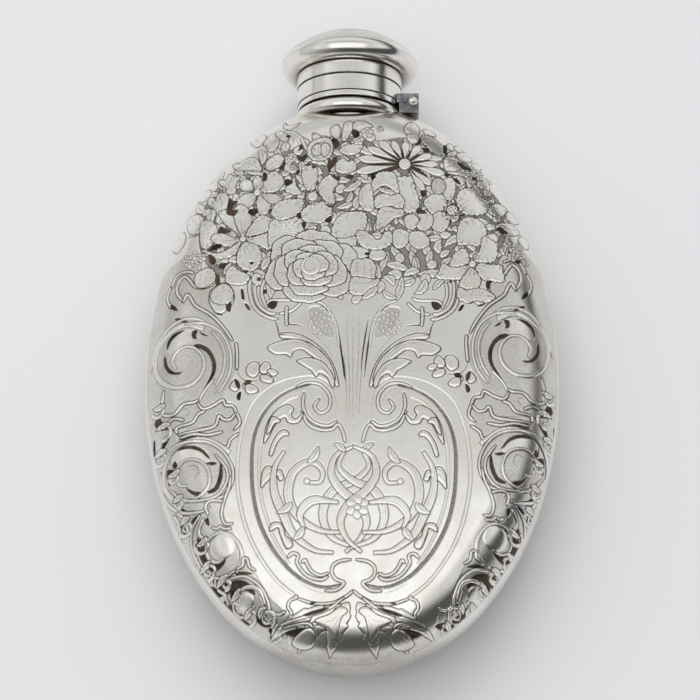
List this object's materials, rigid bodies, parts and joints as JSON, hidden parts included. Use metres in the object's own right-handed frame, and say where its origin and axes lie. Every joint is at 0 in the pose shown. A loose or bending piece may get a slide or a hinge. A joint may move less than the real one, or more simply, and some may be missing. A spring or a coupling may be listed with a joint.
{
  "type": "hip flask",
  "caption": "Oval pocket flask of silver, engraved all over, with a short round neck and a domed mushroom cap that turns in a ring hinged at the side.",
  "frame": {"origin": "under the middle of the whole length, on the plane the flask lies on", "axes": "+Y from the base to the cap, +Z out of the engraved front, +X towards the hinge"},
  "size_m": [0.091, 0.148, 0.0306],
  "materials": {
    "engraved_silver": "polished silver, engraved ornament with dark oxide left in the cuts",
    "sterling_silver": "polished silver, softly worn, tarnished in the corners",
    "tarnished_silver": "silver under a dark blue-grey tarnish",
    "gilt_silver": "gilt silver, satin",
    "cork": "cut cork, matt"
  },
  "bodies": {
    "flask": {"front_shell": "engraved_silver", "back_shell": "engraved_silver", "neck_collar": "sterling_silver", "neck_bead": "sterling_silver", "spout": "gilt_silver", "hinge_lower_leaf": "tarnished_silver", "hinge_pin": "sterling_silver", "hinge_pin_rear_bead": "sterling_silver"},
    "lid": {"lid_band": "sterling_silver", "lid_ring": "sterling_silver", "hinge_upper_leaf": "tarnished_silver"},
    "cap": {"cap_dome": "sterling_silver", "cap_underside": "sterling_silver", "cap_skirt": "sterling_silver", "cap_sleeve": "gilt_silver", "bayonet_lug_front": "gilt_silver", "bayonet_lug_back": "gilt_silver", "cork_disc": "cork", "seal_plate": "gilt_silver", "seal_rivet": "gilt_silver"}
  },
  "joints": [
    {"name": "lid_hinge", "type": "hinge", "parent": "flask", "child": "lid", "pos_m": [0.0133, 0.05685, 0.0153], "axis": [0, 0, -1], "range_deg": [0, 95]},
    {"name": "cap_turn", "type": "hinge", "parent": "lid", "child": "cap", "pos_m": [-0.0008, 0.06735, 0.0153], "axis": [0, -1, 0], "range_deg": [0, 90]}
  ]
}
